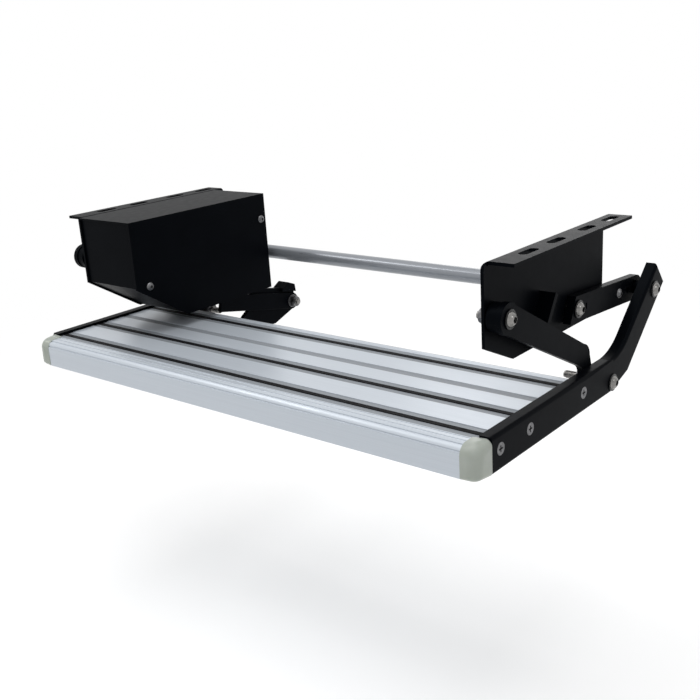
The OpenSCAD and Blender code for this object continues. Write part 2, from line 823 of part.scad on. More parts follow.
module tube_standoffs() {
    plug_len = standoff_len;
    color(dark_grey) both_sides() difference() {
        union() {
            bar(standoff_d, tube_end - plug_len, upper_in, tube_pos);
            bar(tube_d - 2 * tube_wall, tube_end - plug_len, tube_end, tube_pos);
        }
        bar(cover_screw_d + 2 * seat_gap, tube_end - plug_len - over, upper_in + over, tube_pos);
    }
}

module tube_screws() {
    color(steel) both_sides() small_screw(upper_out, tube_end - standoff_len / 2, tube_pos);
}

// The gearmotor's output shaft is keyed into the left upper link
module drive_shaft() {
    color(steel) left() difference() {
        bar(shaft_d, case_in - lid_t, upper_out, pivot_b);
        bar(cover_screw_d + 2 * seat_gap, upper_in - sheet_t, upper_out + over, pivot_b);
    }
}

module drive_shaft_screw() {
    color(steel) left() {
        ring(washer_d + shaft_lip, cover_screw_d + 2 * seat_gap, upper_out, upper_out + washer_t, pivot_b);
        dome_bolt(cover_screw_d, upper_out + washer_t, upper_in - sheet_t, pivot_b);
    }
}

// Side arms: a rail along the tread's end that bends up to the upper pivot, folded to a channel
module side_arm_outline(wall, lead) {
    across = [-sin(arm_angle), cos(arm_angle)];
    along = [cos(arm_angle), sin(arm_angle)];
    bevel = c_local - [bevel_lead, 0] + [0, rail_bottom + pivot_drop];
    top = [0, rail_top - wall];
    bottom = [0, rail_bottom + wall];
    slant = bevel + wall * [-sin(bevel_slope), cos(bevel_slope)];
    back = elbow - (arm_w / 2 - wall) * across;
    front = elbow + (arm_w / 2 - wall) * across;
    tip = elbow + (arm_len - wall) * along;
    corner = meet(front, arm_angle, top, 0);
    polygon([
        bottom - [lead, 0], meet(bottom, 0, slant, bevel_slope),
        meet(slant, bevel_slope, back, arm_angle), meet(back, arm_angle, tip, arm_angle + 90),
        meet(front, arm_angle, tip, arm_angle + 90), corner, top - [lead, 0]
    ]);
    fillet(corner, arm_angle, 180, elbow_r + wall);
}

module side_arm() {
    head_depth = (rail_head_d - rail_screw_d) / 2;
    difference() {
        slab(arm_in, arm_out) tread_plane() side_arm_outline(0, 0);
        slab(arm_in - over, web_in) tread_plane() side_arm_outline(arm_wall, over);
        for (at = [pivot_c, pivot_d]) bar(bolt_hole_d, web_in - over, arm_out + over, at);
        for (r = rail_screws) {
            at = [rail_front - r, tread_top - rail_screw_drop];
            bar(rail_screw_d + 2 * seat_gap, web_in - over, arm_out + over, at);
            translate([at[0], arm_out - head_depth, at[1]]) rotate([-90, 0, 0])
                cylinder(d1 = rail_screw_d + 2 * seat_gap, d2 = rail_head_d + 2 * seat_gap, h = head_depth);
        }
    }
}

module right_side_arm() {
    color(black) side_arm();
}

module left_side_arm() {
    color(black) left() side_arm();
}

module rail_screw_set() {
    head_depth = (rail_head_d - rail_screw_d) / 2;
    for (r = rail_screws) {
        at = [rail_front - r, tread_top - rail_screw_drop];
        bar(rail_screw_d, arm_out - rail_screw_len, arm_out - head_depth, at);
        translate([at[0], arm_out - head_depth, at[1]]) rotate([-90, 0, 0]) difference() {
            cylinder(d1 = rail_screw_d, d2 = rail_head_d, h = head_depth);
            for (turn = [0, 90]) rotate(turn)
                translate([-rail_cross_len / 2, -rail_cross_w / 2, head_depth / 2])
                    cube([rail_cross_len, rail_cross_w, head_depth]);
        }
    }
}

module right_rail_screws() {
    color(steel) rail_screw_set();
}

module left_rail_screws() {
    color(steel) left() rail_screw_set();
}

// Tread planks: hollow extrusions with a rounded nosing, grooves for the grip strips and screw ports
// The nosing's outline ahead of the rails, grown by a wall
module nose_outline(wall) {
    bottom = -plank_t - nose_lip - wall;
    translate([nose_r - nose_out, -nose_r]) circle(nose_r + wall);
    translate([nose_r - nose_out, -nose_r]) square([nose_out - nose_r, nose_r + wall]);
    translate([-nose_out - wall, bottom]) square([nose_out + wall, -nose_r - bottom]);
}

module plank_hollow(r0, r1) {
    translate([r0 + plank_wall, plank_wall - plank_t])
        square([r1 - r0 - 2 * plank_wall, plank_t - 2 * plank_wall - step_depth]);
}

// What stays solid inside a plank: the wall round each strip's groove, a rib under it and the screw ports
module plank_ribs() {
    for (r = strips) {
        translate([r - strip_foot_w / 2 - plank_wall, -strip_depth - 2 * plank_wall])
            square([strip_foot_w + 2 * plank_wall, strip_depth + 2 * plank_wall]);
        translate([r - plank_wall / 2, -plank_t]) square([plank_wall, plank_t]);
    }
    for (r = rail_screws) translate([r, -rail_screw_drop]) {
        circle(rail_screw_d);
        translate([-plank_wall / 2, -plank_t]) square([plank_wall, plank_t]);
    }
}

module strip_outline(gap) {
    bottom = -strip_depth - gap;
    translate([-strip_w / 2 - gap, bottom]) square([strip_w + 2 * gap, strip_proud - bottom]);
    translate([-strip_foot_w / 2 - gap, bottom]) square([strip_foot_w + 2 * gap, strip_foot_t + 2 * gap]);
}

module strip_grooves() {
    groove_w = strip_w + 2 * step_w;
    for (r = strips) translate([r, 0]) {
        strip_outline(seat_gap);
        translate([-groove_w / 2, -step_depth]) square([groove_w, step_depth + over]);
    }
    translate([seam_at - seam_w / 2, -step_depth]) square([seam_w, step_depth + over]);
}

// Two grooves on the flat of the nosing and two round its upper edge
module nose_grooves() {
    centre = [nose_r - nose_out, -nose_r];
    for (step = nose_flat_grooves) translate(centre + [step, nose_r]) circle(nose_groove_r);
    for (turn = nose_edge_grooves) translate(centre + nose_r * [cos(turn), sin(turn)]) circle(nose_groove_r);
}

module screw_ports() {
    for (r = rail_screws) translate([r, -rail_screw_drop]) circle(d = rail_screw_d + 2 * seat_gap);
}

// The children draw the outer form, and the hollow lies between r0 and r1
module plank(r0, r1) {
    slab(-web_in, web_in) tread_plane() difference() {
        children();
        difference() {
            plank_hollow(r0, r1);
            plank_ribs();
        }
        strip_grooves();
        nose_grooves();
        screw_ports();
    }
}

module front_plank() {
    color(aluminium) plank(nose_r - nose_out - plank_wall, seam_at) union() {
        nose_outline(0);
        translate([-nose_r, -plank_t]) square([seam_at + nose_r, plank_t]);
    }
}

module rear_plank() {
    flat_end = tread_back - nose_r;
    color(aluminium) difference() {
        plank(seam_at, flat_end + plank_wall) union() {
            translate([seam_at, -plank_t]) square([flat_end - seam_at, plank_t]);
            translate([flat_end, -plank_t]) square([nose_r, plank_t - nose_r]);
            translate([flat_end, -nose_r]) circle(nose_r);
        }
        left() drive_lug_screw_holes();
    }
}

module grip_strip(r) {
    color(rubber) slab(-arm_in + run_gap, arm_in - run_gap) tread_plane() translate([r, 0]) strip_outline(0);
}

module front_grip_strip() {
    grip_strip(strip_1);
}

module middle_grip_strip() {
    grip_strip(strip_2);
}

module rear_grip_strip() {
    grip_strip(strip_3);
}

// Nosing caps: a moulded cup pushed over each end of the nosing
module nosing_cap() {
    reach = nose_out + cap_wall - seat_gap;
    straight = reach - cap_corner_r;
    difference() {
        intersection() {
            slab(arm_out - cap_len, arm_out) tread_plane() nose_outline(cap_wall);
            translate([rail_front + seat_gap, 0, tread_top - 2 * rail_h]) linear_extrude(3 * rail_h) {
                square([straight, arm_out]);
                square([reach, arm_out - cap_corner_r]);
                translate([straight, arm_out - cap_corner_r]) circle(cap_corner_r);
            }
        }
        slab(arm_out - cap_len - over, web_in) tread_plane() {
            nose_outline(seat_gap);
            translate([-nose_out / 2, -plank_t - nose_lip]) square([nose_out, plank_t + nose_lip]);
        }
    }
}

module right_nosing_cap() {
    color(milky) nosing_cap();
}

module left_nosing_cap() {
    color(milky) left() nosing_cap();
}

// Lower pivots: each bolt is fixed in the side arm and turns in the lower link's bush
module lower_pivot_bolts() {
    tip = lower_in - washer_gap - washer_t - nut_h - lower_bolt_past;
    color(steel) both_sides() dome_bolt(bolt_d, arm_out + washer_t, tip, pivot_c);
}

module lower_pivot_washers() {
    color(steel) both_sides() {
        ring(washer_d, bolt_hole_d, arm_out, arm_out + washer_t, pivot_c);
        ring(washer_d, bolt_hole_d, lower_in - washer_gap - washer_t, lower_in - washer_gap, pivot_c);
    }
}

module lower_pivot_spacers() {
    spacer_d = bolt_hole_d + 2 * spacer_wall;
    color(dark_grey) both_sides() ring(spacer_d, bolt_hole_d, lower_out + washer_gap, web_in, pivot_c);
}

module lower_pivot_nuts() {
    color(steel) both_sides() lock_nut(bolt_d, lower_in - washer_gap - washer_t, pivot_c);
}

// Upper pivots: the bolt and its nut clamp in the side arm, in line with the boss on the upper link
module upper_pivot_bolts() {
    color(steel) both_sides() dome_bolt(bolt_d, arm_out + washer_t, arm_in, pivot_d);
}

module upper_pivot_washers() {
    color(steel) both_sides() ring(washer_d, bolt_hole_d, arm_out, arm_out + washer_t, pivot_d);
}

module upper_pivot_nuts() {
    color(steel) both_sides() lock_nut(bolt_d, web_in, pivot_d);
}

// Drive lug: a plate under the tread that rises behind it to the pin of the drive bar
module drive_lug_screw_holes() {
    bottom = plank_under - drive_lug_flange_t - over;
    for (x = drive_screw_at) translate([x, drive_lug_out + drive_lug_flange_w / 2, bottom])
        cylinder(d = cover_screw_d + 2 * seat_gap, h = drive_lug_flange_t + plank_wall + 2 * over);
}

module drive_lug_plate_outline() {
    under = plank_under - pin_at[1];
    front = tread_rear + drive_lug_reach - pin_at[0];
    translate(pin_at) polygon(concat(drive_lug_rise, [
        [front, under - drive_lug_foot_h], [front, under], [drive_lug_heel, under]
    ]));
}

module drive_lug() {
    color(black) left() difference() {
        union() {
            slab(drive_at, drive_lug_out) drive_lug_plate_outline();
            slab(drive_bar_in, drive_lug_out + drive_lug_plate_t) translate(pin_at) polygon(drive_lug_block);
            translate([tread_rear + over, drive_at + over, plank_under - drive_lug_flange_t])
                cube([
                    drive_lug_reach - 2 * over,
                    drive_lug_plate_t + drive_lug_flange_w - over,
                    drive_lug_flange_t
                ]);
        }
        drive_lug_screw_holes();
        bar(bolt_hole_d, drive_at - over, drive_lug_out + over, pin_at);
    }
}

module drive_lug_screws() {
    color(steel) left() for (x = drive_screw_at)
        translate([x, drive_lug_out + drive_lug_flange_w / 2, plank_under - drive_lug_flange_t])
            rotate([-90, 0, 0]) small_screw(0, -drive_lug_screw_len, [0, 0]);
}

// The bar lies under the motor box, so its upper edge is cut level there
module drive_bar_outline() {
    intersection() {
        union() {
            translate(pin_at) circle(d = drive_bar_w);
            translate(pin_at) rotate(drive_slope) translate([0, end_proud - drive_bar_w / 2])
                square([drive_bar_len, drive_bar_w - 2 * end_proud]);
        }
        translate([pin_at[0] - drive_bar_w, -2 * box_h]) square([2 * drive_bar_len, box_h - tube_clear]);
    }
}

module drive_bar() {
    color(black) left() difference() {
        slab(drive_bar_in, drive_at) drive_bar_outline();
        bar(bolt_hole_d, drive_bar_in - over, drive_at + over, pin_at);
    }
}

module drive_pin() {
    color(steel) left()
        dome_bolt(bolt_d, drive_lug_out, drive_bar_in - washer_t - nut_h - bolt_past_nut, pin_at);
}

module drive_pin_washer() {
    color(steel) left() ring(washer_d, bolt_hole_d, drive_bar_in - washer_t, drive_bar_in, pin_at);
}

module drive_pin_nut() {
    color(steel) left() lock_nut(bolt_d, drive_bar_in - washer_t, pin_at);
}

left_bracket();
right_bracket();
motor_housing();
motor_cover();
cover_screws();
gear_case();
gear_case_lid();
gear_case_screws();
motor_can();
motor_end_bell();
front_pivot_bolts();
front_pivot_washers();
front_pivot_nuts();
rear_pivot_bolt();
rear_pivot_washers();
rear_pivot_nut();
left_lower_link();
right_lower_link();
lower_link_bushes();
left_upper_link();
right_upper_link();
upper_link_bushes();
upper_link_bosses();
cross_tube();
tube_standoffs();
tube_screws();
drive_shaft();
drive_shaft_screw();
left_side_arm();
right_side_arm();
front_plank();
rear_plank();
front_grip_strip();
middle_grip_strip();
rear_grip_strip();
left_nosing_cap();
right_nosing_cap();
left_rail_screws();
right_rail_screws();
lower_pivot_bolts();
lower_pivot_washers();
lower_pivot_spacers();
lower_pivot_nuts();
upper_pivot_bolts();
upper_pivot_washers();
upper_pivot_nuts();
drive_lug();
drive_lug_screws();
drive_bar();
drive_pin();
drive_pin_washer();
drive_pin_nut();
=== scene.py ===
import json
from math import radians

import bmesh
import bpy
from mathutils import Matrix, Vector

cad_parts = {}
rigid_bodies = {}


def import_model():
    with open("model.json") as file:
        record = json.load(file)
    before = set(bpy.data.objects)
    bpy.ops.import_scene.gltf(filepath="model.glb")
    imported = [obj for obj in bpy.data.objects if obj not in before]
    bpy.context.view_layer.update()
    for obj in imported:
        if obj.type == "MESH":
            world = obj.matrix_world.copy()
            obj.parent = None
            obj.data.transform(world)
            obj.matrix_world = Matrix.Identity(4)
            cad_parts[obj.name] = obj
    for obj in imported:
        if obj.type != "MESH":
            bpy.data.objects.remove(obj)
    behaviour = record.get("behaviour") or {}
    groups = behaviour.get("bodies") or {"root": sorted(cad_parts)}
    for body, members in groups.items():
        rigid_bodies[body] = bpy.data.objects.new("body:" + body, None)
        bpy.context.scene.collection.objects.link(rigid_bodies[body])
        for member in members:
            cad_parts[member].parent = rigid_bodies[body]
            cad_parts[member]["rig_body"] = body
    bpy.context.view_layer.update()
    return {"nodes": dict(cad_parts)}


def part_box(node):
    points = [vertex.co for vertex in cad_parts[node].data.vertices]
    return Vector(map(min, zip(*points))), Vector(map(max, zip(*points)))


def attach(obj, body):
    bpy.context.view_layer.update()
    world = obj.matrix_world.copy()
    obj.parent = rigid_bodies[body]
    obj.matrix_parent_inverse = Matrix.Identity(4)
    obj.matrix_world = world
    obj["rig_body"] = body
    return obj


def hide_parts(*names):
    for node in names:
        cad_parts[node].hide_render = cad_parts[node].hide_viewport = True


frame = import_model()
scene = bpy.context.scene

# Mounting brackets
# Two folded plates of 3 mm steel with an outward flange that bolts up under the floor.
# They are laser cut, folded and powder coated satin black, so every edge is slightly rounded by the coat.
MM = 0.001
BRACKET_EDGE = 0.5 * MM
NOISE_LOW, NOISE_HIGH = 0.3, 0.7  # most of a noise lies between these
WELD = 0.004 * MM  # CAD corners nearer than this are one point
FLAT = radians(0.5)  # CAD faces that turn less than this are one flat face
CORNER = radians(32)  # edges that turn more than this are rounded
CREASE = radians(40)  # edges that turn more than this are shaded sharp


def new_material(name):
    """A new node material with its node tree, its shader and its Object coordinates."""
    material = bpy.data.materials.new(name)
    material.use_nodes = True
    tree = material.node_tree
    shader = tree.nodes["Principled BSDF"]
    place = tree.nodes.new("ShaderNodeTexCoord").outputs["Object"]
    return material, tree, shader, place


def noise(tree, place, scale, detail, stretch=(1, 1, 1)):
    """Noise over Object coordinates, stretched along the axes."""
    mapping = tree.nodes.new("ShaderNodeMapping")
    mapping.inputs["Scale"].default_value = stretch
    tree.links.new(place, mapping.inputs["Vector"])
    texture = tree.nodes.new("ShaderNodeTexNoise")
    texture.inputs["Scale"].default_value = scale
    texture.inputs["Detail"].default_value = detail
    tree.links.new(mapping.outputs["Vector"], texture.inputs["Vector"])
    return texture.outputs["Fac"]


def spread(tree, value, low, high):
    """Maps the middle of a noise to a range of numbers."""
    node = tree.nodes.new("ShaderNodeMapRange")
    node.inputs["From Min"].default_value = NOISE_LOW
    node.inputs["From Max"].default_value = NOISE_HIGH
    node.inputs["To Min"].default_value = low
    node.inputs["To Max"].default_value = high
    tree.links.new(value, node.inputs["Value"])
    return node.outputs["Result"]


def tint(tree, value, dark, light):
    """Colour that wanders between two tones with a noise."""
    ramp = tree.nodes.new("ShaderNodeValToRGB")
    ramp.color_ramp.elements[0].position = NOISE_LOW
    ramp.color_ramp.elements[1].position = NOISE_HIGH
    ramp.color_ramp.elements[0].color = (*dark, 1)
    ramp.color_ramp.elements[1].color = (*light, 1)
    tree.links.new(value, ramp.inputs["Fac"])
    return ramp.outputs["Color"]


def bump(tree, shader, height, distance, strength):
    """Raises the surface by a height map."""
    node = tree.nodes.new("ShaderNodeBump")
    node.inputs["Distance"].default_value = distance
    node.inputs["Strength"].default_value = strength
    tree.links.new(height, node.inputs["Height"])
    tree.links.new(node.outputs["Normal"], shader.inputs["Normal"])


def powder_coat(name, dark, light, roughness):
    """Satin powder coat: near black, with a fine orange peel and a faint uneven sheen."""
    material, tree, shader, place = new_material(name)
    shader.inputs["Specular IOR Level"].default_value = 0.024
    shader.inputs["Specular Tint"].default_value = (0.74, 0.87, 1.0, 1)
    cloud = noise(tree, place, scale=35, detail=4)
    sheen = noise(tree, place, scale=120, detail=5)
    peel = noise(tree, place, scale=700, detail=2)
    tree.links.new(tint(tree, cloud, dark, light), shader.inputs["Base Color"])
    tree.links.new(spread(tree, sheen, *roughness), shader.inputs["Roughness"])
    bump(tree, shader, peel, distance=0.06 * MM, strength=0.2)
    return material


def cad_copy(node):
    """A merged copy of a CAD node's mesh, with its flat faces whole again."""
    work = bmesh.new()
    work.from_mesh(frame["nodes"][node].data)
    bmesh.ops.remove_doubles(work, verts=work.verts, dist=WELD)
    bmesh.ops.dissolve_limit(work, angle_limit=FLAT, verts=work.verts, edges=work.edges)
    return work


def sharp_edges(work):
    """The edges that are real corners, and not the facets of a round."""
    return [e for e in work.edges if e.is_manifold and e.calc_face_angle() > CORNER]


def round_edges(work, edges, width, segments=2, clamp=True):
    """Rounds edges over, as a fold, a coat or a file leaves them."""
    bmesh.ops.bevel(
        work, geom=edges, offset=width, offset_type="OFFSET", affect="EDGES", segments=segments,
        profile=0.5, material=-1, clamp_overlap=clamp,
    )


def finished(work, node, *materials):
    """Puts a worked mesh in the place of its CAD node, with even shading on its flat faces."""
    mesh = bpy.data.meshes.new(node + "_finished")
    work.to_mesh(mesh)
    work.free()
    for material in materials:
        mesh.materials.append(material)
    mesh.shade_smooth()
    mesh.set_sharp_from_angle(angle=CREASE)
    piece = bpy.data.objects.new(node + "_finished", mesh)
    scene.collection.objects.link(piece)
    piece.modifiers.new("even_shading", "WEIGHTED_NORMAL").keep_sharp = True
    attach(piece, frame["nodes"][node]["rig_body"])
    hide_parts(node)


def eased(node, width, material, segments=2):
    """The CAD node with every sharp edge slightly rounded."""
    work = cad_copy(node)
    round_edges(work, sharp_edges(work), width, segments)
    finished(work, node, material)


coat = powder_coat(
    "satin_black_coat", dark=(0.0009, 0.0012, 0.0020), light=(0.0014, 0.0018, 0.0028), roughness=(0.38, 0.42))
for side in ("left", "right"):
    eased(side + "_bracket", BRACKET_EDGE, coat)

# Motor box
# A folded 2 mm sheet wrap with a flat cover on its inner side, in the same black coat.
# Two zinc plated socket screws hold the cover on tabs inside the wrap.
HOUSING_EDGE, COVER_EDGE, SCREW_EDGE = 0.7 * MM, 0.4 * MM, 0.25 * MM
HEX_EVEN = 1.02  # longest side over shortest, up to which a six-sided face is a socket's floor


def cast_metal(name, dark, light, metallic, roughness):
    """Cast, sintered or blackened metal with a grainy skin."""
    material, tree, shader, place = new_material(name)
    shader.inputs["Metallic"].default_value = metallic
    cloud = noise(tree, place, scale=90, detail=5)
    sheen = noise(tree, place, scale=300, detail=3)
    grain = noise(tree, place, scale=900, detail=3)
    tree.links.new(tint(tree, cloud, dark, light), shader.inputs["Base Color"])
    tree.links.new(spread(tree, sheen, *roughness), shader.inputs["Roughness"])
    bump(tree, shader, grain, distance=0.15 * MM, strength=0.4)
    return material


def bright_steel(name, dark, light, roughness):
    """Bright stainless or zinc plated steel with fine turning marks."""
    material, tree, shader, place = new_material(name)
    shader.inputs["Metallic"].default_value = 1.0
    cloud = noise(tree, place, scale=260, detail=4)
    sheen = noise(tree, place, scale=500, detail=4)
    marks = noise(tree, place, scale=1500, detail=2)
    tree.links.new(tint(tree, cloud, dark, light), shader.inputs["Base Color"])
    tree.links.new(spread(tree, sheen, *roughness), shader.inputs["Roughness"])
    bump(tree, shader, marks, distance=0.04 * MM, strength=0.4)
    return material


def shade_painted_sockets(work):
    """Marks the hex sockets of the heads, floor and walls, for the second material: a near black that is painted
    shade in the recess.
    """
    for face in work.faces:
        lengths = [edge.calc_length() for edge in face.edges]
        if len(lengths) == 6 and max(lengths) < HEX_EVEN * min(lengths):
            for part in [f for edge in face.edges for f in edge.link_faces]:
                part.material_index = 1


def socketed(node, width, material):
    """Screws with eased edges and sockets painted near black as painted shade."""
    work = cad_copy(node)
    shade_painted_sockets(work)
    round_edges(work, sharp_edges(work), width)
    finished(work, node, material, washer_steel_and_socket_shade)


zinc = bright_steel(
    "zinc_plated_steel", dark=(0.09, 0.09, 0.095), light=(0.18, 0.18, 0.185), roughness=(0.25, 0.4))
# Near black steel: the washers' own colour, and the painted shade inside the hex sockets
washer_steel_and_socket_shade = cast_metal(
    "dark_washer_and_socket_shade", dark=(0.020, 0.020, 0.021), light=(0.045, 0.045, 0.045), metallic=0.9, roughness=(0.22, 0.34))
eased("motor_housing", HOUSING_EDGE, coat)
eased("motor_cover", COVER_EDGE, coat)
socketed("cover_screws", SCREW_EDGE, zinc)

# Gearmotor inside the box
# A die cast gear case with its screwed lid, and a drawn steel motor can with an end bell.
# They are hidden behind the cover, and are seen only when it comes off.
CASTING_EDGE, CAN_EDGE = 0.8 * MM, 0.4 * MM
case_skin = cast_metal(
    "cast_aluminium_skin", dark=(0.36, 0.37, 0.38), light=(0.46, 0.47, 0.48), metallic=1.0, roughness=(0.45, 0.6))
can_skin = cast_metal(
    "dark_steel_skin", dark=(0.03, 0.03, 0.033), light=(0.05, 0.05, 0.055), metallic=0.6, roughness=(0.35, 0.5))
for node in ("gear_case", "gear_case_lid", "motor_end_bell"):
    eased(node, CASTING_EDGE, case_skin)
eased("motor_can", CAN_EDGE, can_skin)
socketed("gear_case_screws", SCREW_EDGE, zinc)

# Lower and upper links
# Flat steel bars, laser cut and coated black like the brackets, with bosses at the pivots and bronze bushes
# pressed into their eyes. The left upper link is keyed on the gearmotor's drive shaft.
LOWER_LINK_EDGE, UPPER_LINK_EDGE = 0.8 * MM, 0.7 * MM
BOSS_EDGE, BUSH_EDGE = 0.4 * MM, 0.2 * MM
bronze = cast_metal(
    "sintered_bronze", dark=(0.36, 0.22, 0.09), light=(0.48, 0.31, 0.14), metallic=1.0, roughness=(0.35, 0.5))
for side in ("left", "right"):
    eased(side + "_lower_link", LOWER_LINK_EDGE, coat)
    eased(side + "_upper_link", UPPER_LINK_EDGE, coat)
eased("upper_link_bosses", BOSS_EDGE, coat)
for node in ("lower_link_bushes", "upper_link_bushes"):
    eased(node, BUSH_EDGE, bronze, segments=1)
eased("drive_shaft", SCREW_EDGE, zinc)
socketed("drive_shaft_screw", SCREW_EDGE, zinc)

# Cross tube
# A plain drawn tube with a satin silver finish, which ties the two upper links together.
# A dark steel stand-off and a screw at each end hold it on the links.
TUBE_EDGE = 0.4 * MM


def drawn_aluminium(name, dark, light, metallic, roughness):
    """Satin anodised aluminium with faint die lines along Y."""
    material, tree, shader, place = new_material(name)
    shader.inputs["Metallic"].default_value = metallic
    lines = noise(tree, place, scale=1.0, detail=4, stretch=(900, 6, 900))
    sheen = noise(tree, place, scale=1.0, detail=3, stretch=(500, 30, 500))
    tree.links.new(tint(tree, lines, dark, light), shader.inputs["Base Color"])
    tree.links.new(spread(tree, sheen, *roughness), shader.inputs["Roughness"])
    bump(tree, shader, lines, distance=0.02 * MM, strength=0.2)
    return material


tube_finish = drawn_aluminium(
    "satin_tube", dark=(0.24, 0.255, 0.28), light=(0.28, 0.295, 0.32), metallic=0.35, roughness=(0.27, 0.30))
eased("cross_tube", TUBE_EDGE, tube_finish)
eased("tube_standoffs", TUBE_EDGE, can_skin)
socketed("tube_screws", SCREW_EDGE, zinc)

# Side arms
# Channels folded from 3 mm sheet: the rail closes the tread's end and rises to the upper pivot.
# The fold between web and flange is round, so these edges get the widest rounding.
FOLD, ARM_EDGE, COUNTERSUNK_EDGE = 3.4 * MM, 0.4 * MM, 0.15 * MM
FLANGE_LEAST = 8 * MM  # an arm's face that is wider than this is a flange and not the sheet's cut edge
SAME_PLACE = 0.01 * MM  # points that differ by less than this lie in one plane
FACING, SQUARE_TO = 0.9, 0.1  # parts of a normal along an axis that it points along, or is square to


def flange_side(face):
    """Whether a face is the outside of a flange, and not the rail's open front end."""
    widths = [abs(v.co.y) for v in face.verts]
    wide = max(widths) - min(widths) > FLANGE_LEAST
    return wide and abs(face.normal.y) < SQUARE_TO and face.normal.x < FACING


for side in ("left", "right"):
    work = cad_copy(side + "_side_arm")
    outer = max(abs(v.co.y) for v in work.verts) - SAME_PLACE
    outlines = [e for e in sharp_edges(work) if all(abs(v.co.y) > outer for v in e.verts)]
    folds = [e for e in outlines if any(flange_side(f) for f in e.link_faces)]
    round_edges(work, folds, FOLD, segments=5, clamp=False)
    round_edges(work, sharp_edges(work), ARM_EDGE)
    finished(work, side + "_side_arm", coat)
    eased(side + "_rail_screws", COUNTERSUNK_EDGE, zinc, segments=1)

# Pivot bolts, nuts and washers
# Stainless M8 button head bolts with hex sockets painted near black as painted shade, plain washers and lock
# nuts, bright but not polished.
# The shank shows its thread only where it stands out of the nut. Steel spacers fill the lower pivots.
BOLT_EDGE, NUT_EDGE, SPACER_EDGE = 0.35 * MM, 0.25 * MM, 0.4 * MM
PITCH, CREST, ROOT = 1.25 * MM, 4.0 * MM, 3.35 * MM  # the thread's pitch and its two radii
FLANK, LAND = 0.45 * PITCH, 0.08 * PITCH  # half lengths of the ridge at its foot and at its crest
FOOT = ROOT - 0.2 * MM  # the ridge's foot lies a little inside the core
TURN_STEPS = 24
IN_NUT = 1.0 * MM  # how far the thread starts inside the nut
BARE_TIP = 1.2 * MM  # the last turn ends at least this far from the tip
TIP_REACH = 2 * MM  # corners this near the end belong to the tip
CORE_OVER = 0.6 * MM  # how much longer the core is than the stretch that it fills
CUT_WITHIN = 0.001 * MM  # corners this near a cut lie on it


def inmost(node):
    """How near a node comes to the middle of the step, along Y."""
    return min(abs(v.co.y) for v in frame["nodes"][node].data.vertices)


def only(kind, geometry):
    """The corners or the edges among an operator's results."""
    return [g for g in geometry if isinstance(g, kind)]


def threaded(node, nut, material):
    """Bolts whose plain CAD tips give way to a thread where they stand out of their nuts."""
    work = cad_copy(node)
    # The hex sockets get the near black of painted shade
    shade_painted_sockets(work)
    round_edges(work, sharp_edges(work), BOLT_EDGE)
    tip, seat = inmost(node), inmost(nut) + IN_NUT
    length = seat - tip
    turns = int((length - BARE_TIP) / PITCH)
    for side in (1, -1):
        ends = [v for v in work.verts if 0 < side * v.co.y < tip + TIP_REACH]
        if not ends:
            continue
        x = sum(v.co.x for v in ends) / len(ends)
        z = sum(v.co.z for v in ends) / len(ends)
        half = [v for v in work.verts if side * v.co.y > 0]
        half += [e for e in work.edges if all(side * v.co.y > 0 for v in e.verts)]
        half += [f for f in work.faces if side * f.calc_center_median().y > 0]
        cut = bmesh.ops.bisect_plane(
            work, geom=half, dist=CUT_WITHIN, plane_co=(0, side * seat, 0), plane_no=(0, side, 0),
            clear_inner=True)
        bmesh.ops.holes_fill(work, edges=only(bmesh.types.BMEdge, cut["geom_cut"]))
        middle = Matrix.Translation((x, side * (seat + tip) / 2, z))
        bmesh.ops.create_cone(
            work, cap_ends=True, segments=32, radius1=ROOT, radius2=ROOT, depth=length + CORE_OVER,
            matrix=middle @ Matrix.Rotation(radians(side * 90), 4, "X"))
        corners = ((FOOT, FLANK), (CREST, LAND), (CREST, -LAND), (FOOT, -FLANK))
        ridge = [work.verts.new((x + out, side * (seat + along), z)) for out, along in corners]
        outline = [work.edges.new(pair) for pair in zip(ridge, ridge[1:] + ridge[:1])]
        thread = bmesh.ops.spin(
            work, geom=ridge + outline, cent=(x, 0, z), axis=(0, 1, 0), angle=radians(360 * turns),
            dvec=(0, -side * PITCH / TURN_STEPS, 0), steps=turns * TURN_STEPS, use_merge=False)
        for end in (ridge, only(bmesh.types.BMVert, thread["geom_last"])):
            bmesh.ops.contextual_create(work, geom=end)
    bmesh.ops.recalc_face_normals(work, faces=work.faces)
    finished(work, node, material, washer_steel_and_socket_shade)


stainless = bright_steel(
    "stainless_bolts", dark=(0.13, 0.13, 0.125), light=(0.30, 0.29, 0.28), roughness=(0.16, 0.3))
threaded("front_pivot_bolts", "front_pivot_nuts", stainless)
threaded("rear_pivot_bolt", "rear_pivot_nut", stainless)
threaded("lower_pivot_bolts", "lower_pivot_nuts", stainless)
socketed("upper_pivot_bolts", BOLT_EDGE, stainless)
for node in ("front_pivot_nuts", "rear_pivot_nut", "lower_pivot_nuts", "upper_pivot_nuts"):
    eased(node, NUT_EDGE, zinc)
for pivot in ("front", "rear", "lower", "upper"):
    eased(pivot + "_pivot_washers", NUT_EDGE, washer_steel_and_socket_shade)
eased("lower_pivot_spacers", SPACER_EDGE, can_skin)

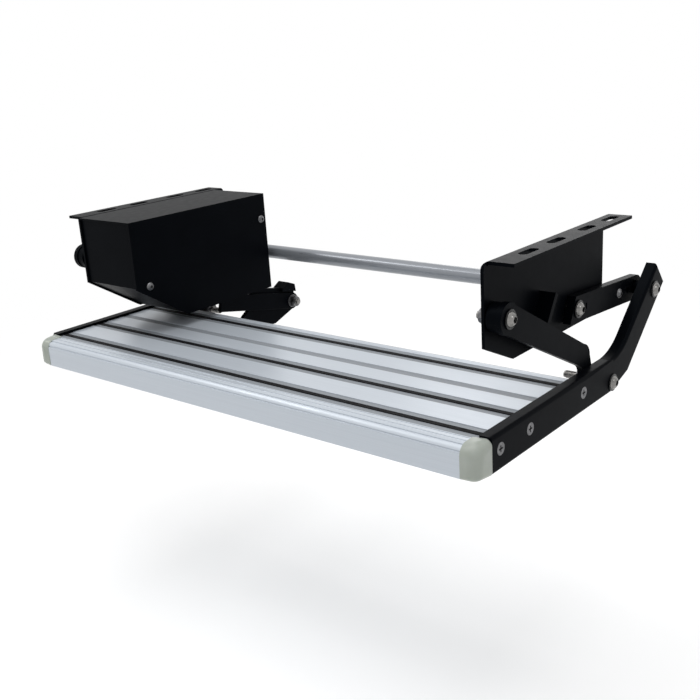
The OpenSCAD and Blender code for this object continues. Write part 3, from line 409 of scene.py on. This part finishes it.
# Tread planks
# Two hollow aluminium extrusions, satin anodised and screwed between the side arms. The front one carries the
# grooved nosing, whose sawn ends stop inside the caps. The floors of the shallow steps are rougher, and painted
# darker as painted shade in the grooves.
PLANK_EDGE = 0.2 * MM
STEP_HALF, SEAM_HALF = 10.2 * MM, 5 * MM  # half widths of the shade-painted floors at a strip and at the seam
CAD_STEP_HALF, CAD_SEAM_HALF = 6 * MM, 2 * MM  # the CAD's floors end within EDGE_BAND outside these
EDGE_BAND = 2 * MM
NEAR_TOP, NEAR_END = 1 * MM, 1 * MM  # what counts as a plank's upper face and as its sawn end
FLOOR_LEAST, FLOOR_MOST = 0.2 * MM, 2 * MM  # depths between which a level face is a step's floor
NOSING_SHORTER = 13.5 * MM
CAP_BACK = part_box("left_nosing_cap")[0].x
SHOULDER_FROM, SHOULDER_TO = CAP_BACK + 2 * MM, CAP_BACK + 4 * MM  # where the sawn end steps back
FLOORS_TO = CAP_BACK + 1 * MM  # the shade-painted floors lie behind this
plank_finish = drawn_aluminium(
    "anodised_plank", dark=(0.52, 0.565, 0.62), light=(0.55, 0.595, 0.65), metallic=0.2, roughness=(0.28, 0.36))
# The step floors: the plank's metal, rougher and painted darker as the shade in the grooves
step_floor_shade = drawn_aluminium(
    "step_floor_painted_shade", dark=(0.225, 0.245, 0.27), light=(0.255, 0.275, 0.30), metallic=0.2, roughness=(0.5, 0.6))
strips = ("front_grip_strip", "middle_grip_strip", "rear_grip_strip")
floors = [(sum(corner.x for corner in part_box(strip)) / 2, CAD_STEP_HALF, STEP_HALF) for strip in strips]
floors.append((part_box("front_plank")[0].x, CAD_SEAM_HALF, SEAM_HALF))
for node in ("front_plank", "rear_plank"):
    work = cad_copy(node)
    top = max(v.co.z for v in work.verts)
    end = max(v.co.y for v in work.verts)
    for vert in [v for v in work.verts if v.co.z > top - NEAR_TOP]:
        for middle, cad_half, half in floors:
            away = vert.co.x - middle
            if cad_half < abs(away) < cad_half + EDGE_BAND:
                vert.co.x = middle + (half if away > 0 else -half)
    if node == "front_plank":
        for cut in (SHOULDER_FROM, SHOULDER_TO):
            bmesh.ops.bisect_plane(
                work, geom=work.verts[:] + work.edges[:] + work.faces[:], dist=CUT_WITHIN,
                plane_co=(cut, 0, 0), plane_no=(1, 0, 0))
    for vert in work.verts:
        if vert.co.x > (SHOULDER_FROM + SHOULDER_TO) / 2 and abs(vert.co.y) > end - NEAR_END:
            vert.co.y *= 1 - NOSING_SHORTER / end
    work.normal_update()
    # Level faces at step depth take the second material, the painted shade of the grooves
    for face in work.faces:
        where = face.calc_center_median()
        level = face.normal.z > FACING and where.x < FLOORS_TO
        if level and FLOOR_LEAST < top - where.z < FLOOR_MOST:
            face.material_index = 1
    round_edges(work, sharp_edges(work), PLANK_EDGE)
    finished(work, node, plank_finish, step_floor_shade)

# Grip strips
# Black rubber strips pushed into the grooves of the planks, slightly proud of the metal.
# They are extruded with a wider foot, which the lips of the groove hold down.
STRIP_EDGE = 0.3 * MM


def strip_rubber(name, dark, light, roughness):
    """Dull black rubber with a fine grain."""
    material, tree, shader, place = new_material(name)
    shader.inputs["Specular IOR Level"].default_value = 0.08
    cloud = noise(tree, place, scale=200, detail=4)
    sheen = noise(tree, place, scale=400, detail=3)
    grain = noise(tree, place, scale=1200, detail=3)
    tree.links.new(tint(tree, cloud, dark, light), shader.inputs["Base Color"])
    tree.links.new(spread(tree, sheen, *roughness), shader.inputs["Roughness"])
    bump(tree, shader, grain, distance=0.15 * MM, strength=0.5)
    return material


rubber = strip_rubber(
    "strip_rubber", dark=(0.002, 0.002, 0.003), light=(0.005, 0.005, 0.006), roughness=(0.55, 0.75))
for node in strips:
    eased(node, STRIP_EDGE, rubber)

# Nosing caps
# Moulded cups of milky polyethylene that close both ends of the nosing.
# They are pushed over its sawn ends and are round all over, with a thin wall.
CAP_WALL = 1.5 * MM
# Half sizes of the balls that round the closed end, in millimetres across, along and up
CROWN, CHIN, NAPE, HEEL = (11, 10, 11), (8, 10, 6), (4, 6, 6), (4, 4, 4)
# Radii of the rings that round the mouth, in millimetres, and how far inside the cap's box they lie
MOUTH_CROWN, MOUTH_CHIN, MOUTH_BACK, MOUTH_IN = 10.4, 1.8, 0.8, 1.2
CAP_WELD = 0.05 * MM


def milky_plastic(name, dark, light, roughness):
    """Translucent off-white plastic with a soft sheen."""
    material, tree, shader, place = new_material(name)
    shader.inputs["Subsurface Weight"].default_value = 0.3
    shader.inputs["Subsurface Radius"].default_value = (1.0, 1.0, 0.8)
    shader.inputs["Subsurface Scale"].default_value = 4 * MM
    cloud = noise(tree, place, scale=60, detail=3)
    sheen = noise(tree, place, scale=150, detail=3)
    waves = noise(tree, place, scale=80, detail=2)
    tree.links.new(tint(tree, cloud, dark, light), shader.inputs["Base Color"])
    tree.links.new(spread(tree, sheen, *roughness), shader.inputs["Roughness"])
    bump(tree, shader, waves, distance=0.6 * MM, strength=0.15)
    return material


milky = milky_plastic(
    "milky_cap", dark=(0.33, 0.36, 0.32), light=(0.38, 0.41, 0.37), roughness=(0.3, 0.42))
for side, sign in (("left", -1), ("right", 1)):
    low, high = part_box(side + "_nosing_cap")
    rim, end = sorted((abs(low.y), abs(high.y)))
    back, front, bottom, top = low.x, high.x, low.z, high.z
    balls = (
        (front - CROWN[0] * MM, top - CROWN[2] * MM, CROWN),
        (front - CHIN[0] * MM, bottom + CHIN[2] * MM, CHIN),
        (back, top - NAPE[2] * MM, NAPE),
        (back, bottom + HEEL[2] * MM, HEEL),
    )
    rings = (
        (front - (MOUTH_CROWN + MOUTH_IN) * MM, top - (MOUTH_CROWN + MOUTH_IN) * MM, MOUTH_CROWN),
        (front - (MOUTH_CHIN + MOUTH_IN) * MM, bottom + (MOUTH_CHIN + MOUTH_IN) * MM, MOUTH_CHIN),
        (back, top - (MOUTH_BACK + MOUTH_IN) * MM, MOUTH_BACK),
        (back, bottom + (MOUTH_BACK + MOUTH_IN) * MM, MOUTH_BACK),
    )
    work = bmesh.new()
    # The common skin of the balls and the rings is the cup
    for x, z, (across, along, up) in balls:
        centre = Matrix.Translation((x, sign * (end - along * MM), z))
        bmesh.ops.create_uvsphere(
            work, u_segments=48, v_segments=24, radius=MM,
            matrix=centre @ Matrix.Diagonal((across, along, up, 1)))
    for x, z, radius in rings:
        centre = Matrix.Translation((x, sign * rim, z))
        bmesh.ops.create_circle(
            work, segments=64, radius=radius * MM, matrix=centre @ Matrix.Rotation(radians(90), 4, "X"))
    bmesh.ops.delete(work, geom=work.edges[:], context="EDGES_FACES")
    bmesh.ops.convex_hull(work, input=work.verts[:])
    bmesh.ops.delete(work, geom=[v for v in work.verts if not v.link_faces], context="VERTS")
    bmesh.ops.bisect_plane(
        work, geom=work.verts[:] + work.edges[:] + work.faces[:], dist=CUT_WITHIN,
        plane_co=(back, 0, 0), plane_no=(-1, 0, 0), clear_outer=True)
    mouth = [f for f in work.faces if all(abs(abs(v.co.y) - rim) < SAME_PLACE for v in f.verts)]
    bmesh.ops.delete(work, geom=mouth, context="FACES")
    bmesh.ops.remove_doubles(work, verts=work.verts, dist=CAP_WELD)
    bmesh.ops.recalc_face_normals(work, faces=work.faces)
    bmesh.ops.solidify(work, geom=work.faces[:], thickness=CAP_WALL)
    for vert in work.verts:
        vert.co.x = max(vert.co.x, back)
        vert.co.y = sign * max(abs(vert.co.y), rim)
    finished(work, side + "_nosing_cap", milky)

# Drive lug and bar
# A black steel lug screwed under the rear plank rises behind the tread to the pin of a flat drive bar.
# The bar lies under the motor box, and a bolt with a lock nut holds it on the lug.
LUG_EDGE, BAR_EDGE = 0.8 * MM, 0.6 * MM
eased("drive_lug", LUG_EDGE, coat)
eased("drive_bar", BAR_EDGE, coat)
threaded("drive_pin", "drive_pin_nut", stainless)
for node in ("drive_pin_washer", "drive_pin_nut", "drive_lug_screws"):
    eased(node, NUT_EDGE, zinc)

# Studio
# A pale matt floor below the step's full travel, and four soft boxes.
# The surround is white to the camera and in reflections, and gives a dimmer light.
FLOOR_Z, FLOOR_RADIUS = -0.45, 4.0
FADE_FROM, FADE_TO = 0.5, 1.8  # distances over which the floor fades into the surround
SURROUND_LIGHT, SURROUND_SEEN = 0.58, 1.0


def pale_floor(name):
    """Matt white that fades into the surround away from the object."""
    material, tree, shader, place = new_material(name)
    shader.inputs["Base Color"].default_value = (0.93, 0.93, 0.93, 1)
    shader.inputs["Roughness"].default_value = 0.9
    shader.inputs["Emission Color"].default_value = (1, 1, 1, 1)
    shader.inputs["Emission Strength"].default_value = 0.2
    length = tree.nodes.new("ShaderNodeVectorMath")
    length.operation = "LENGTH"
    tree.links.new(place, length.inputs[0])
    fade = tree.nodes.new("ShaderNodeMapRange")
    fade.interpolation_type = "SMOOTHSTEP"
    fade.inputs["From Min"].default_value = FADE_FROM
    fade.inputs["From Max"].default_value = FADE_TO
    tree.links.new(length.outputs["Value"], fade.inputs["Value"])
    clear = tree.nodes.new("ShaderNodeBsdfTransparent")
    mix = tree.nodes.new("ShaderNodeMixShader")
    tree.links.new(fade.outputs["Result"], mix.inputs["Fac"])
    tree.links.new(shader.outputs["BSDF"], mix.inputs[1])
    tree.links.new(clear.outputs["BSDF"], mix.inputs[2])
    tree.links.new(mix.outputs["Shader"], tree.nodes["Material Output"].inputs["Surface"])
    return material


def soft_lamp(name, place, aim, size, power):
    """A square soft box that looks at a point."""
    data = bpy.data.lights.new(name, "AREA")
    data.size = size
    data.energy = power
    lamp = bpy.data.objects.new(name, data)
    turn = (Vector(aim) - Vector(place)).to_track_quat("-Z", "Y").to_matrix().to_4x4()
    lamp.matrix_world = Matrix.Translation(place) @ turn
    scene.collection.objects.link(lamp)


work = bmesh.new()
bmesh.ops.create_circle(work, cap_ends=True, segments=96, radius=FLOOR_RADIUS)
bmesh.ops.translate(work, verts=work.verts, vec=(0, 0, FLOOR_Z))
floor_mesh = bpy.data.meshes.new("floor")
work.to_mesh(floor_mesh)
work.free()
floor_mesh.materials.append(pale_floor("pale_floor"))
floor = bpy.data.objects.new("floor", floor_mesh)
scene.collection.objects.link(floor)

world = bpy.data.worlds.new("white_surround")
scene.world = world
world.use_nodes = True
tree = world.node_tree
rays = tree.nodes.new("ShaderNodeLightPath")
seen = rays.outputs["Is Camera Ray"]
for kind in ("Is Glossy Ray", "Is Transmission Ray"):
    either = tree.nodes.new("ShaderNodeMath")
    either.operation = "MAXIMUM"
    tree.links.new(seen, either.inputs[0])
    tree.links.new(rays.outputs[kind], either.inputs[1])
    seen = either.outputs[0]
strength = tree.nodes.new("ShaderNodeMapRange")
strength.inputs["To Min"].default_value = SURROUND_LIGHT
strength.inputs["To Max"].default_value = SURROUND_SEEN
tree.links.new(seen, strength.inputs["Value"])
tree.links.new(strength.outputs["Result"], tree.nodes["Background"].inputs["Strength"])
tree.nodes["Background"].inputs["Color"].default_value = (1, 1, 1, 1)

soft_lamp("overhead_box", place=(0.3, 0.0, 1.8), aim=(0, 0, -0.1), size=1.8, power=20)
soft_lamp("glint_box", place=(1.0, -1.7, 1.8), aim=(0.18, 0, -0.14), size=0.5, power=8)
soft_lamp("bolt_glint", place=(-0.1, 1.9, 0.95), aim=(0.1, 0.3, -0.06), size=0.25, power=2)
soft_lamp("back_box", place=(-1.8, -0.7, 0.45), aim=(0, 0.1, -0.05), size=0.8, power=3)

# Camera
# It stands ahead of the step's right corner and looks down on the tread, as in the photograph.
# Its place, its direction and its lens were fitted to points of the photograph.
EYE = Vector((0.7617, 0.6685, 0.1737))
FORWARD = Vector((-0.7233, -0.6182, -0.3077)).normalized()
RIGHT = Vector((-0.6335, 0.7714, -0.0609)).normalized()
lens = bpy.data.cameras.new("photo_camera")
lens.lens = 49.03
lens.sensor_width = 36
lens.clip_start = 0.01
camera = bpy.data.objects.new("photo_camera", lens)
turn = Matrix((RIGHT, RIGHT.cross(FORWARD), -FORWARD)).transposed().to_4x4()
camera.matrix_world = Matrix.Translation(EYE) @ turn
scene.collection.objects.link(camera)
scene.camera = camera

scene.view_settings.view_transform = "Standard"
